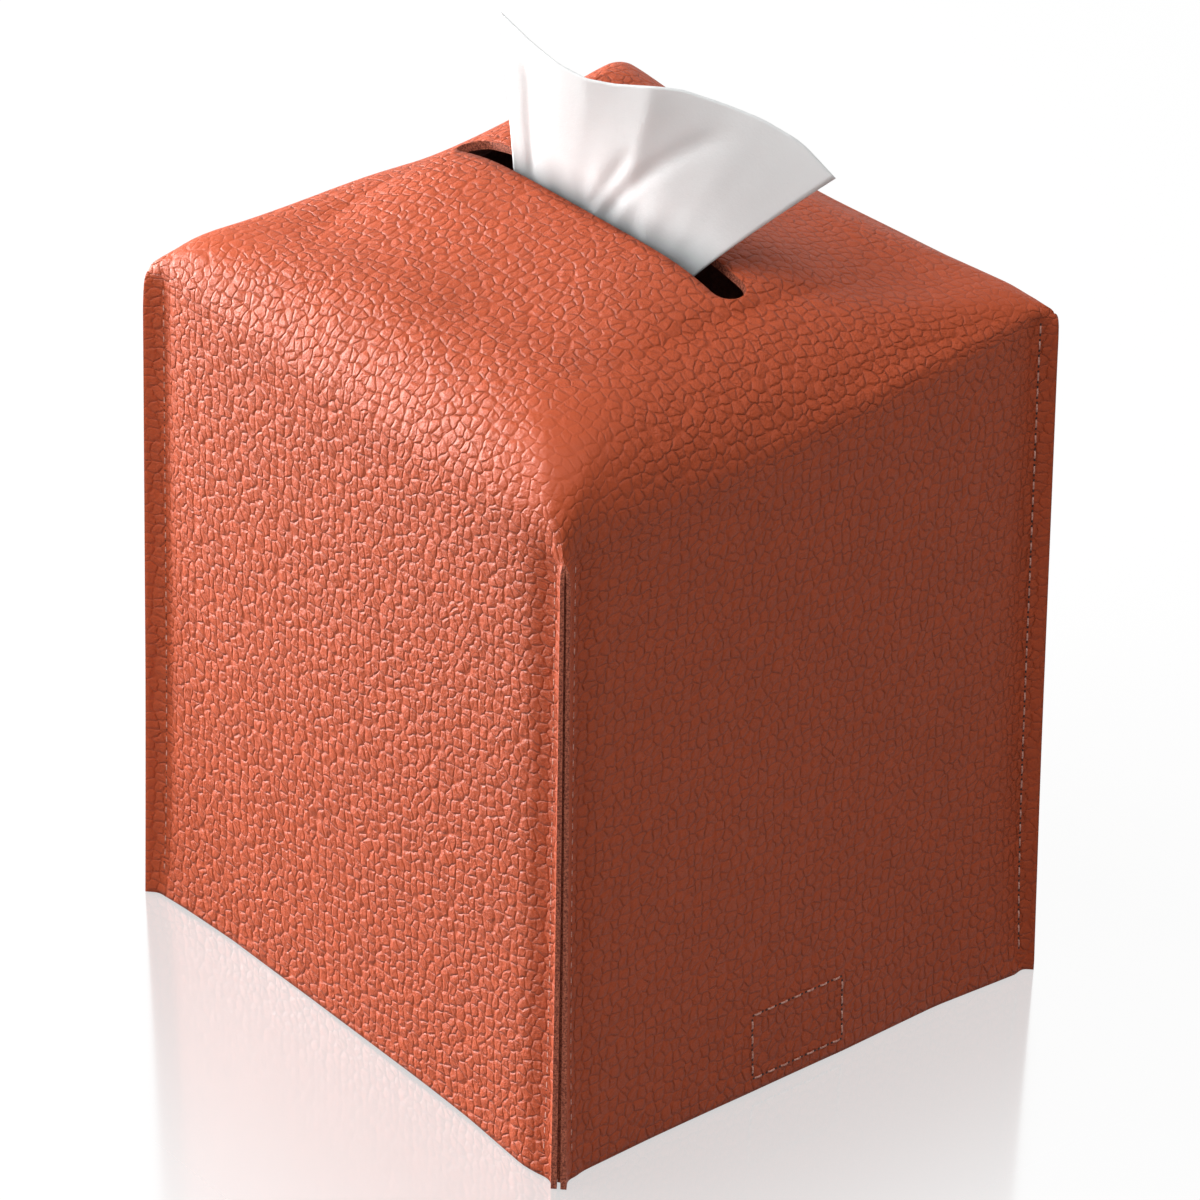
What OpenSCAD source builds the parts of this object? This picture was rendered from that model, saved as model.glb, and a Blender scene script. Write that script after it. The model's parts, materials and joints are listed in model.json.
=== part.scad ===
// Tissue box cover of soft leather. One cross-shaped leather blank and its bonded lining are folded
// over a cube carton and sewn along the four corners. Two hook-and-loop straps close it under the carton.
// +X is the cover's right, -Y its front, and the origin is on the table under the middle of the cover.

/* [Cover] */
// Width between the outer faces of the left and right walls
cover_w = 130; // [110:1:160]
// Depth between the outer faces of the front and back walls
cover_d = 122; // [110:1:160]
// Height of the flat of the top above the table
top_h = 157.5; // [120:0.5:190]
// Outer radius of the fold from the top into each wall
fold_r = 20; // [12:0.5:28]
// Rise of the middle of the top, where the slot is, above the flat of the top
dome_rise = 6; // [2:0.5:8]
// Thickness of the grained leather
leather_t = 1; // [0.8:0.1:2]
// Thickness of the lining
lining_t = 0.7; // [0.5:0.1:1.5]
// How far the lining stops above the table
lining_hem = 1; // [0.5:0.1:3]

/* [Slot] */
// Length of the slot from end to end
slot_l = 84; // [60:1:95]
// Width of the slot, which has round ends
slot_w = 9; // [7:0.5:14]

/* [Corner seams] */
// Height of the top of each corner seam above the table
seam_h = 142; // [100:0.5:170]
// How far the sewn edges stand out from each corner
seam_reach = 1.5; // [1:0.1:4]
// Distance of the seam stitches from the raw edges
seam_margin = 2.4; // [1.5:0.1:3]
// Clear height left free of stitches at each end of a seam
seam_end = 4; // [2:0.5:10]
// Height over the seam tops where the ball that rounds the four top corners passes
corner_ball_lift = 2; // [0:0.5:6]
// Depth of the centre of that ball under the seam tops
corner_ball_drop = 60; // [40:1:70]

/* [Thread] */
// Width of the sewing thread
thread_w = 0.7; // [0.4:0.05:1]
// How far a stitch stands out of the leather at its middle
stitch_rise = 0.4; // [0.2:0.05:0.5]
// Distance from one stitch to the next
stitch_pitch = 3.2; // [2.5:0.1:5]
// Length of one stitch as it shows
stitch_l = 2.5; // [1.5:0.1:4]

/* [Straps] */
// Width of both straps
strap_w = 27; // [20:1:35]
// Thickness of both straps
strap_t = 1.5; // [1:0.1:2.5]
// Length of the right strap from its fold to its tip
long_strap_l = 96; // [86:1:105]
// Corner radius of the strap tips
strap_tip_r = 6; // [2:0.5:10]
// Clearance between the right strap and the table
strap_table_gap = 0.5; // [0.3:0.1:2]
// Distance from the fold line of a strap to the inner face of its wall
fold_inset = 1.8; // [1.5:0.1:3]
// Height of the sewn tab at the root of each strap
tab_h = 17.5; // [14:0.5:25]
// Width of the box of stitches that holds a tab
box_stitch_w = 23.3; // [16:0.1:31]
// Height of the box of stitches that holds a tab
box_stitch_h = 14.5; // [8:0.1:20]
// Height of the box of stitches above the table
box_stitch_z = 3.1; // [2.8:0.1:5]

/* [Hook and loop] */
// Width of the hook tape and of the loop tape
tape_w = 23; // [16:1:30]
// Length of the hook tape and of the loop tape
tape_l = 27; // [15:1:32]
// Thickness of the hook tape
hook_t = 1.2; // [0.8:0.1:2]
// Thickness of the loop tape
loop_t = 1.2; // [0.8:0.1:2]
// Distance from a strap tip to its tape
tape_inset = 2; // [1:0.5:5]
// Gap between the closed hook and loop tapes
tape_gap = 0.2; // [0.1:0.05:0.5]
// Distance of the tape stitches from the edge of the tape
tape_margin = 1.5; // [1:0.1:3]

/* [Tissue] */
// Width of the tissue where it passes through the slot
tissue_w = 53; // [40:1:60]
// Height of the left tip of the tissue above the top
tissue_h = 31; // [20:1:45]
// Length of the tissue that hangs below the top inside the cover
tissue_tail = 29; // [20:1:40]
// Thickness of the tissue
tissue_t = 0.6; // [0.4:0.1:1]
// Depth of the pleats of the tissue in the slot, from crest to crest
pleat_depth = 3; // [1:0.5:4]

/* [Hidden] */
$fn = 48;
bond_gap = 0.1;       // between two sheets that are bonded or sewn face to face
fold_gap = 0.3;       // between a tab and the root of its strap
lip_gap = 0.3;        // between the tissue and the front lip of the slot
overrun = 5;          // how far a cut runs past the faces that it cuts

wall_t = leather_t + bond_gap + lining_t;
fin_half = leather_t + lining_t;
dome_r = min(cover_w, cover_d) / 2 - fold_r;
dome_arc_r = (dome_r * dome_r + dome_rise * dome_rise) / (4 * dome_rise);
crown_h = top_h + dome_rise;
corner_reach = sqrt(cover_w * cover_w + cover_d * cover_d) / 2;
corner_ball_z = seam_h + corner_ball_lift - corner_ball_drop;
corner_ball_r = sqrt(corner_reach * corner_reach + corner_ball_drop * corner_ball_drop);

strap_z = strap_table_gap + strap_t / 2;
strap_fold_x = cover_w / 2 - wall_t - fold_inset;
tab_x = cover_w / 2 - wall_t - bond_gap - strap_t / 2;
tab_z = strap_z + strap_t / 2 + fold_gap;
step_rise = strap_t + hook_t + tape_gap + loop_t;
// Shares of the room between the left strap's fold and the right strap's tip, where the left strap
// steps up over the right one
step_start_share = 0.15;
step_run_share = 0.52;
tip_room = 2 * strap_fold_x - long_strap_l;
short_strap_l = tip_room + tape_l + 2 * tape_inset;

tissue_y = -slot_w / 2 + lip_gap + tissue_t / 2 + pleat_depth / 2;
// Shares along the top edge of the tissue, from its left tip to its right tip
tissue_edge_shares = [0, 0.17, 0.3, 0.5, 0.68, 0.87, 1];
// Places on that edge, as shares of tissue_w to the right and backwards, and of tissue_h upwards
tissue_place_shares = [[-0.62, 0.02, 1], [-0.41, 0.06, 0.81], [-0.22, 0.11, 0.74], [0.15, 0.2, 0.9],
                       [0.42, 0.27, 0.93], [0.76, 0.34, 0.86], [0.92, 0.38, 0.7]];
tissue_columns = 30;
tissue_rows_up = 8;
tissue_rows_down = 5;
pleats = 3.5;         // waves across the tissue in the slot
neck_share = 0.35;    // how far up the tissue rises before it leans over, as a share of its height
tail_taper_share = 0.12;

// Outline of an arch that stands on the X axis, with both top corners round
module arch(width, height, radius) {
    translate([-width / 2, 0]) square([width, height - radius]);
    translate([-width / 2 + radius, 0]) square([width - 2 * radius, height]);
    for (side = [-1, 1])
        translate([side * (width / 2 - radius), height - radius]) circle(radius);
}

// Half section of the raised middle of the top: an arc that turns down, then an arc that runs out
// into the flat. The flat lies at height 0, and the face is moved inwards by inset.
module dome_outline(inset) {
    across = dome_r / (2 * dome_arc_r);
    down = sqrt(1 - across * across);
    turn_x = (dome_arc_r - inset) * across;
    turn_z = dome_rise - dome_arc_r + (dome_arc_r - inset) * down;
    intersection() {
        translate([0, dome_rise - dome_arc_r]) circle(dome_arc_r - inset);
        translate([0, -fold_r]) square([turn_x, 2 * fold_r]);
    }
    difference() {
        translate([turn_x, -fold_r]) square([dome_r - turn_x, fold_r + turn_z]);
        translate([dome_r, dome_arc_r]) circle(dome_arc_r + inset);
    }
}

// Solid form of the cover, with all its faces moved inwards by inset
module cover_form(inset) {
    width = cover_w - 2 * inset;
    depth = cover_d - 2 * inset;
    intersection() {
        rotate([90, 0, 0])
            linear_extrude(depth, center = true) arch(width, top_h - inset, fold_r - inset);
        rotate([90, 0, 90])
            linear_extrude(width, center = true) arch(depth, top_h - inset, fold_r - inset);
        union() {
            translate([0, 0, corner_ball_z]) sphere(corner_ball_r - inset);
            translate([-width / 2, -depth / 2, 0]) cube([width, depth, corner_ball_z]);
        }
    }
    translate([0, 0, top_h]) rotate_extrude() dome_outline(inset);
}

// Side view of a seam edge: it reaches outwards from the corner, and its outer top corner is round
module fin_outline(reach, height) {
    translate([-overrun, -overrun]) square([overrun + reach, height + overrun - seam_reach]);
    translate([-overrun, -overrun]) square([overrun + reach - seam_reach, height + overrun]);
    translate([reach - seam_reach, height - seam_reach]) circle(seam_reach);
}

// One slab along the diagonal of each corner
module corner_slabs(half_t, reach, height) {
    for (corner = [0 : 3])
        translate([(corner == 0 || corner == 3 ? 1 : -1) * cover_w / 2, (corner < 2 ? 1 : -1) * cover_d / 2, 0])
            rotate([90, 0, 45 + 90 * corner])
                linear_extrude(2 * half_t, center = true) fin_outline(reach, height);
}

module below(height) {
    translate([-cover_w, -cover_d, height - overrun - top_h]) cube([2 * cover_w, 2 * cover_d, top_h + overrun]);
}

module slot_cut() {
    translate([0, 0, top_h / 2]) linear_extrude(top_h) {
        square([slot_l - slot_w, slot_w], center = true);
        for (side = [-1, 1]) translate([side * (slot_l - slot_w) / 2, 0]) circle(slot_w / 2);
    }
}

module outer_leather() {
    color("indianred") difference() {
        union() {
            cover_form(0);
            corner_slabs(fin_half, seam_reach, seam_h);
        }
        translate([0, 0, -bond_gap]) cover_form(leather_t);
        below(0);
        corner_slabs(lining_t, seam_reach + overrun, seam_h);
        slot_cut();
    }
}

module inner_lining() {
    color("sienna") difference() {
        union() {
            cover_form(leather_t + bond_gap);
            corner_slabs(lining_t - bond_gap, seam_reach, seam_h - bond_gap);
        }
        cover_form(wall_t);
        below(lining_hem);
        corner_slabs(bond_gap / 2, seam_reach + overrun, seam_h - fin_half);
        slot_cut();
    }
}

// One stitch along the X axis on the XY plane: a low arch that dips into the leather at both ends
module stitch() {
    arch_r = (stitch_l * stitch_l / 4 + stitch_rise * stitch_rise) / (2 * stitch_rise);
    rotate([90, 0, 0]) linear_extrude(thread_w, center = true) intersection() {
        translate([0, stitch_rise - arch_r]) circle(arch_r);
        translate([-stitch_l, 0]) square([2 * stitch_l, stitch_rise]);
    }
}

// Stitches along the X axis on the XY plane, spread evenly over a length
module stitch_row(length) {
    count = floor(length / stitch_pitch);
    for (i = [0 : count - 1])
        translate([(i + 0.5) * length / count - length / 2, 0, 0]) stitch();
}

// Box of stitches on the XY plane
module stitch_box(width, height) {
    for (side = [-1, 1]) {
        translate([0, side * height / 2, 0]) stitch_row(width);
        translate([side * width / 2, 0, 0]) rotate([0, 0, 90]) stitch_row(height);
    }
}

// Both faces of one corner seam; corner 0 is back right, and the corners follow counter-clockwise
module seam_stitches(corner) {
    length = seam_h - 2 * seam_end;
    color("peru")
        translate([(corner == 0 || corner == 3 ? 1 : -1) * cover_w / 2, (corner < 2 ? 1 : -1) * cover_d / 2, 0])
            rotate([0, 0, 45 + 90 * corner])
                for (face = [0, 1]) mirror([0, face, 0])
                    translate([seam_reach - seam_margin, fin_half, seam_h / 2])
                        rotate([-90, -90, 0]) stitch_row(length);
}

// A thing drawn for the right wall, put on the right wall for side 1 and on the left wall for side -1
module on_wall(side) {
    rotate([0, 0, side > 0 ? 0 : 180]) children();
}

module strap_tab(side) {
    color("indianred") on_wall(side)
        translate([tab_x - strap_t / 2, -strap_w / 2, tab_z]) cube([strap_t, strap_w, tab_h]);
}

// The box of stitches shows on the outside of the wall and on the inner face of the tab
module tab_stitches(side) {
    color("peru") on_wall(side) translate([0, 0, box_stitch_z + box_stitch_h / 2]) {
        translate([cover_w / 2, 0, 0]) rotate([90, 0, 90]) stitch_box(box_stitch_w, box_stitch_h);
        translate([tab_x - strap_t / 2, 0, 0]) rotate([90, 0, -90]) stitch_box(box_stitch_w, box_stitch_h);
    }
}

// Plan of a strap that runs along +X from its fold, with a round-cornered tip
module strap_plan(length) {
    translate([-strap_t, -strap_w / 2]) square([strap_t + length - strap_tip_r, strap_w]);
    translate([-strap_t, -strap_w / 2 + strap_tip_r]) square([strap_t + length, strap_w - 2 * strap_tip_r]);
    for (side = [-1, 1])
        translate([length - strap_tip_r, side * (strap_w / 2 - strap_tip_r)]) circle(strap_tip_r);
}

// Strap along +X from its fold at the origin; it climbs by rise over the step
module strap(length, rise) {
    half = strap_t / 2;
    step_start = step_start_share * tip_room;
    step_run = step_run_share * tip_room;
    step_end = step_start + step_run;
    bend = half * tan(atan2(rise, step_run) / 2);
    intersection() {
        rotate([90, 0, 0]) linear_extrude(strap_w, center = true) {
            polygon([[0, -half], [step_start + bend, -half], [step_end + bend, rise - half], [length, rise - half],
                     [length, rise + half], [step_end - bend, rise + half], [step_start - bend, half], [0, half]]);
            circle(half);
        }
        translate([0, 0, -strap_t]) linear_extrude(rise + 2 * strap_t) strap_plan(length);
    }
}

// Frame of a strap on the underside: its fold is the origin, and it runs along +X
module at_fold(side) {
    on_wall(side) translate([strap_fold_x, 0, strap_z]) rotate([0, 0, 180]) children();
}

module tape_block(length, z, thickness) {
    translate([length - tape_inset - tape_l, -tape_w / 2, z]) cube([tape_l, tape_w, thickness]);
}

// Box of stitches that holds a tape; it shows on the bare face of the strap, below it or above it
module tape_stitches(length, z, below) {
    translate([length - tape_inset - tape_l / 2, 0, z]) mirror([0, 0, below ? 1 : 0])
        stitch_box(tape_l - 2 * tape_margin, tape_w - 2 * tape_margin);
}

module long_strap() {
    color("indianred") at_fold(1) strap(long_strap_l, 0);
}

module hook_tape() {
    color("saddlebrown") at_fold(1) tape_block(long_strap_l, strap_t / 2, hook_t);
}

module hook_tape_stitches() {
    color("peru") at_fold(1) tape_stitches(long_strap_l, -strap_t / 2, true);
}

module short_strap() {
    color("indianred") at_fold(-1) strap(short_strap_l, step_rise);
}

module loop_tape() {
    color("rosybrown") at_fold(-1) tape_block(short_strap_l, step_rise - strap_t / 2 - loop_t, loop_t);
}

module loop_tape_stitches() {
    color("peru") at_fold(-1) tape_stitches(short_strap_l, step_rise + strap_t / 2, false);
}

// Place on the top edge of the tissue at share s, in millimetres from the middle of the slot
function edge_place(s) = [lookup(s, [for (i = [0 : len(tissue_edge_shares) - 1])
                              [tissue_edge_shares[i], tissue_place_shares[i][0] * tissue_w]]),
                          lookup(s, [for (i = [0 : len(tissue_edge_shares) - 1])
                              [tissue_edge_shares[i], tissue_place_shares[i][1] * tissue_w]]),
                          lookup(s, [for (i = [0 : len(tissue_edge_shares) - 1])
                              [tissue_edge_shares[i], tissue_place_shares[i][2] * tissue_h]])];

// Middle of the sheet at share s across it; up runs from -1 at the tail's end through 0 in the slot to 1
function tissue_place(s, up) =
    let (root = [(s - 0.5) * tissue_w, tissue_y, 0],
         wave = sin(360 * pleats * s) * (pleat_depth - tissue_t) / 2,
         edge = edge_place(s),
         neck = [root[0] + (edge[0] - root[0]) * neck_share / 2, tissue_y, tissue_h * neck_share])
    up < 0
        ? [root[0] * (1 + tail_taper_share * up), tissue_y + wave, up * tissue_tail]
        : root * (1 - up) * (1 - up) + neck * 2 * up * (1 - up) + edge * up * up + [0, wave * (1 - up / 2), 0];

// The sheet is thickened across Y, because it stands nearly upright in the slot
module tissue_sheet() {
    ups = [for (i = [-tissue_rows_down : tissue_rows_up]) i < 0 ? i / tissue_rows_down : i / tissue_rows_up];
    rows = len(ups);
    columns = tissue_columns + 1;
    points = [for (face = [-1, 1]) for (up = ups) for (i = [0 : tissue_columns])
                  tissue_place(i / tissue_columns, up) + [0, face * tissue_t / 2, crown_h]];
    function at(face, row, column) = (face * rows + row) * columns + column;
    front = [for (r = [0 : rows - 2]) for (c = [0 : columns - 2]) each
                [[at(0, r, c), at(0, r + 1, c), at(0, r + 1, c + 1)], [at(0, r, c), at(0, r + 1, c + 1), at(0, r, c + 1)]]];
    back = [for (r = [0 : rows - 2]) for (c = [0 : columns - 2]) each
                [[at(1, r, c), at(1, r + 1, c + 1), at(1, r + 1, c)], [at(1, r, c), at(1, r, c + 1), at(1, r + 1, c + 1)]]];
    sides = [for (r = [0 : rows - 2]) for (c = [0, columns - 1]) each c == 0
                ? [[at(0, r, c), at(1, r, c), at(1, r + 1, c)], [at(0, r, c), at(1, r + 1, c), at(0, r + 1, c)]]
                : [[at(0, r, c), at(1, r + 1, c), at(1, r, c)], [at(0, r, c), at(0, r + 1, c), at(1, r + 1, c)]]];
    ends = [for (r = [0, rows - 1]) for (c = [0 : columns - 2]) each r == 0
                ? [[at(0, r, c), at(1, r, c + 1), at(1, r, c)], [at(0, r, c), at(0, r, c + 1), at(1, r, c + 1)]]
                : [[at(0, r, c), at(1, r, c), at(1, r, c + 1)], [at(0, r, c), at(1, r, c + 1), at(0, r, c + 1)]]];
    color("white") polyhedron(points, concat(front, back, sides, ends));
}

outer_leather();
inner_lining();
seam_stitches(0);  // seam_stitches_back_right
seam_stitches(1);  // seam_stitches_back_left
seam_stitches(2);  // seam_stitches_front_left
seam_stitches(3);  // seam_stitches_front_right
strap_tab(1);  // right_tab
strap_tab(-1);  // left_tab
tab_stitches(1);  // right_tab_stitches
tab_stitches(-1);  // left_tab_stitches
long_strap();
hook_tape();
hook_tape_stitches();
short_strap();
loop_tape();
loop_tape_stitches();
tissue_sheet();
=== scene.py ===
import json
import math
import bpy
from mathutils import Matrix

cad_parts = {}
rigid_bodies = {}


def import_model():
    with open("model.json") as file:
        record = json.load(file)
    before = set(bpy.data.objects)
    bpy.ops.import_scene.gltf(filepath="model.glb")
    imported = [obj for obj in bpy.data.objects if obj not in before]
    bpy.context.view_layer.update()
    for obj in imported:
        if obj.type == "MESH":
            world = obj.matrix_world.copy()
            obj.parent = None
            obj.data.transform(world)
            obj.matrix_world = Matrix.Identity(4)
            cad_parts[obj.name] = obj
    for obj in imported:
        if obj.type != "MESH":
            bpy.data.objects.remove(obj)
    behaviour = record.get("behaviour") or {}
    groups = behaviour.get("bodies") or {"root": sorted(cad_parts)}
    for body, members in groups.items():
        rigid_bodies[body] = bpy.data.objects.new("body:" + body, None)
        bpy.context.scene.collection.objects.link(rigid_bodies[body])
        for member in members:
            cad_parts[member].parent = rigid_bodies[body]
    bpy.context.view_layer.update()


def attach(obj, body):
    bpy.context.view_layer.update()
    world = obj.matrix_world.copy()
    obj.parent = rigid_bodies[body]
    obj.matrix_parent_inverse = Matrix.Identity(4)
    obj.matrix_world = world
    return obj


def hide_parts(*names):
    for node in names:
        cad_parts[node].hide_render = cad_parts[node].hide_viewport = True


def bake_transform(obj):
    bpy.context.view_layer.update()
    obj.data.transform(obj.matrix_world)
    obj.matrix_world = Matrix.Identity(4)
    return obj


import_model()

from types import SimpleNamespace

import bpy
import numpy as np
from mathutils import Matrix

mm = 0.001
bpy.context.scene.view_settings.view_transform = "Standard"

# Camera: where the picture was taken from
cameraView = {
    "azimuth": 50.6,
    "elevation": 29.8,
    "roll": 1.0,
    "distance": 1.17,
    "aimHeight": 0.0715,
    "slideRight": 0.0017,
    "slideUp": 0.0051,
    "lens": 175.7,
    "sensor": 36,
    "clip": (0.05, 30),
}


def sightAxes(azimuth, elevation):
    # level = (cos az, sin az, 0), back = (sin az cos el, -cos az cos el, sin el), and rise = back x level
    az, el = math.radians(azimuth), math.radians(elevation)
    back = np.array([math.sin(az) * math.cos(el), -math.cos(az) * math.cos(el), math.sin(el)])
    level = np.array([math.cos(az), math.sin(az), 0.0])
    return level, np.cross(back, level), back


def standAt(holder, right, up, back, place):
    # the three axes and the place are the columns of the holder's matrix
    bpy.context.scene.collection.objects.link(holder)
    turned = np.eye(4)
    turned[:3] = np.column_stack([right, up, back, place])
    holder.matrix_world = Matrix(turned.tolist())


def setCamera(view):
    # looks at the aim point from its distance, rolls about that line and slides in its own plane
    level, rise, back = sightAxes(view["azimuth"], view["elevation"])
    roll = math.radians(view["roll"])
    right = level * math.cos(roll) + rise * math.sin(roll)
    up = rise * math.cos(roll) - level * math.sin(roll)
    slide = right * view["slideRight"] + up * view["slideUp"]
    camera = bpy.data.cameras.new("pictureCamera")
    camera.lens, camera.sensor_width = view["lens"], view["sensor"]
    camera.clip_start, camera.clip_end = view["clip"]
    holder = bpy.data.objects.new("pictureCamera", camera)
    standAt(holder, right, up, back, (0, 0, view["aimHeight"]) + back * view["distance"] + slide)
    bpy.context.scene.camera = holder


setCamera(cameraView)
print("camera set")


# Mesh tools
def smoothStep(x):
    # 3x^2 - 2x^3 between 0 and 1
    x = np.clip(x, 0, 1)
    return x * x * (3 - 2 * x)


def quarterRound(x):
    # from 0 to 1 on a quarter of a circle
    return np.sqrt(1 - (1 - np.clip(x, 0, 1)) ** 2)


def unit(vectors):
    # each vector over its own length
    return vectors / np.linalg.norm(vectors, axis=-1, keepdims=True)


def lengthAlong(line):
    # length of the line from its start to each of its points
    return np.concatenate([[0], np.cumsum(np.linalg.norm(np.diff(line, axis=0), axis=1))])


def crossed(directions, amounts):
    # every direction times every amount, as one array
    return directions.reshape(len(directions), *(1,) * amounts.ndim, 3) * amounts[None, ..., None]


def gridQuads(ids):
    # quads of a grid of point numbers, first index down the surface and second along it
    return np.stack([ids[:-1, :-1], ids[1:, :-1], ids[1:, 1:], ids[:-1, 1:]], -1).reshape(-1, 4)


def tubeFaces(ids):
    # sides and end caps of tubes whose point numbers are ids[tube, ring, place on the ring]
    turned = np.roll(ids, -1, axis=2)
    sides = np.stack([ids[:, :-1], ids[:, 1:], turned[:, 1:], turned[:, :-1]], -1).reshape(-1, 4)
    return sides, np.concatenate([ids[:, 0], ids[:, -1, ::-1]])


def diagonalCross(points, quads):
    # the cross product of each quad's diagonals: its normal, twice its area long
    first, second, third, fourth = (points[quads[:, corner]] for corner in range(4))
    return np.cross(third - first, fourth - second)


def sheetNormals(points, quads):
    # at each point the normals of its quads are added up and made one long
    across = diagonalCross(points, quads)
    normals = np.zeros_like(points)
    for corner in range(4):
        np.add.at(normals, quads[:, corner], across)
    return normals / np.maximum(np.linalg.norm(normals, axis=1, keepdims=True), 1e-12)


def closedSkin(quads, count):
    # a skin, its reversed copy whose point numbers are count higher, and a strip between their open edges
    edges = np.concatenate([quads[:, [side, (side + 1) % 4]] for side in range(4)])
    key = edges.min(1).astype(np.int64) * count + edges.max(1)
    _, first, uses = np.unique(key, return_index=True, return_counts=True)
    rim = edges[first[uses == 1]]
    strip = np.column_stack([rim[:, 1], rim[:, 0], rim[:, 0] + count, rim[:, 1] + count])
    kind = np.repeat([0, 1, 2], [len(quads), len(quads), len(strip)])
    return np.concatenate([quads, quads[:, ::-1] + count, strip]), kind


def thicken(points, quads, start, end, normals=None):
    # outer skin = point - start * normal, inner skin = point - end * normal
    if normals is None:
        normals = sheetNormals(points, quads)
    start, end = (np.broadcast_to(depth, (len(points),))[:, None] for depth in (start, end))
    both = np.concatenate([points - start * normals, points - end * normals])
    return both, *closedSkin(quads, len(points))


def addPiece(name, points, faces, materials, kind=None, flat=(), surfaceMap=None):
    # points in millimetres and faces go straight into a mesh in metres; kind picks each face's material
    mesh = bpy.data.meshes.new(name)
    mesh.from_pydata(np.asarray(points, float) * mm, [], faces)
    for material in materials:
        mesh.materials.append(material)
    kind = np.zeros(len(mesh.polygons), int) if kind is None else np.asarray(kind)
    picked = np.minimum(kind, len(materials) - 1).astype(np.int32)
    mesh.polygons.foreach_set("material_index", picked)
    mesh.polygons.foreach_set("use_smooth", ~np.isin(kind, flat))
    if surfaceMap is not None:
        corners = np.empty(len(mesh.loops), np.int32)
        mesh.loops.foreach_get("vertex_index", corners)
        layer = mesh.uv_layers.new(name="surfaceMap")
        laid = np.asarray(surfaceMap, float)[corners] * mm
        layer.data.foreach_set("uv", laid.ravel().astype(np.float32))
    mesh.update()
    piece = bpy.data.objects.new(name, mesh)
    bpy.context.scene.collection.objects.link(piece)
    return piece


# Material tools
def newMaterial(name, settings):
    made = bpy.data.materials.new(name)
    made.use_nodes = True
    shader = made.node_tree.nodes["Principled BSDF"]
    for socket, value in settings.items():
        shader.inputs[socket].default_value = value
    return made, made.node_tree, shader


def addNode(tree, kind, inputs, **settings):
    # an input that is a socket is linked, any other is set; gives the node's outputs
    node = tree.nodes.new("ShaderNode" + kind)
    for key, value in settings.items():
        setattr(node, key, value)
    for key, value in inputs.items():
        if isinstance(value, bpy.types.NodeSocket):
            tree.links.new(value, node.inputs[key])
        else:
            node.inputs[key].default_value = value
    return node.outputs


def maths(tree, operation, first, second=0.0, third=0.0):
    inputs = {0: first, 1: second, 2: third}
    return addNode(tree, "Math", inputs, operation=operation)[0]


def remap(tree, value, low, high, bottom=0.0, top=1.0):
    # a smooth step from bottom to top while the value goes from low to high
    inputs = {"Value": value, "From Min": low, "From Max": high, "To Min": bottom, "To Max": top}
    return addNode(tree, "MapRange", inputs, interpolation_type="SMOOTHSTEP")[0]


def mixColour(tree, share, first, second):
    return addNode(tree, "Mix", {0: share, 6: first, 7: second}, data_type="RGBA")[2]


def inMillimetres(tree, vector):
    return addNode(tree, "VectorMath", {0: vector, 3: 1 / mm}, operation="SCALE")[0]


def laidPlace(tree):
    # place on the flat material that the piece is made of, in millimetres
    return inMillimetres(tree, addNode(tree, "UVMap", {}, uv_map="surfaceMap")[0])


def noise(tree, place, scale, detail, roughness=0.5, output=0):
    # clouds of 1 / scale millimetres with finer and finer ones on them
    inputs = {"Vector": place, "Scale": scale, "Detail": detail, "Roughness": roughness}
    return addNode(tree, "TexNoise", inputs)[output]


def nudged(tree, place, start, scale, reach):
    # start + reach (cloud at the place - 1/2), along all axes
    inputs = {0: noise(tree, place, scale, 1.0, output="Color"), 1: (0.5, 0.5, 0.5)}
    centred = addNode(tree, "VectorMath", inputs, operation="SUBTRACT")[0]
    inputs = {0: centred, 1: (reach,) * 3, 2: start}
    return addNode(tree, "VectorMath", inputs, operation="MULTIPLY_ADD")[0]


def cellPattern(tree, place, scale, jitter, feature):
    # distance to the cell's own point (F1) or to its edge, on the flat material
    inputs = {"Vector": place, "Scale": scale, "Randomness": jitter}
    settings = {"feature": feature, "voronoi_dimensions": "2D"}
    return addNode(tree, "TexVoronoi", inputs, **settings)["Distance"]


def dress(tree, shader, colour, height, depth, strength=1.0):
    # height 0 to 1 stands for depth millimetres
    inputs = {"Height": height, "Strength": strength, "Distance": depth * mm}
    tree.links.new(addNode(tree, "Bump", inputs)[0], shader.inputs["Normal"])
    tree.links.new(colour, shader.inputs["Base Color"])


leatherLook = {
    "colour": (0.485, 0.075, 0.019, 1),
    # painted shade: the colour the creases darken towards, standing in for the shade that falls in them
    "creaseShadeColour": (0.22, 0.020, 0.004, 1),
    "deepTone": 0.88,  # the darker patches, as a share of the colour
    "creaseShadeShares": (0.12, 0.20),  # how dark the painted shade in the creases is, in plain and in darker leather
    "creaseShadeWidth": 0.07,  # width of the painted shade in the creases, in cells
    "specular": 0.31,
    "roughness": 0.52,
    "roughnessSpread": (-0.05, 0.10),
    "cellSize": 2.42,
    "cellShape": (1.02, 0.98),  # cells to a cell size, along and down
    "jitter": 0.70,
    "drift": (0.30, 1.8),  # the cells wander: scale and reach of the slow clouds
    "curl": (1.1, 0.55),  # and of the quick ones
    "shoulder": 0.24,  # how wide a pebble rounds down, in cells
    "pitStart": (0.42, 0.82),  # the corners between pebbles sink from here to here
    "wrinkles": 3.1,  # small wrinkles to a cell
    "pores": (2.8, 4.0, 0.62),
    "shares": {"shoulder": 0.80, "dome": 0.60, "wrinkle": 0.10, "pore": 0.30},
    "tautLoss": 0.72,  # share of the relief that goes where the skin is taut
    "depth": 0.46,
}


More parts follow.
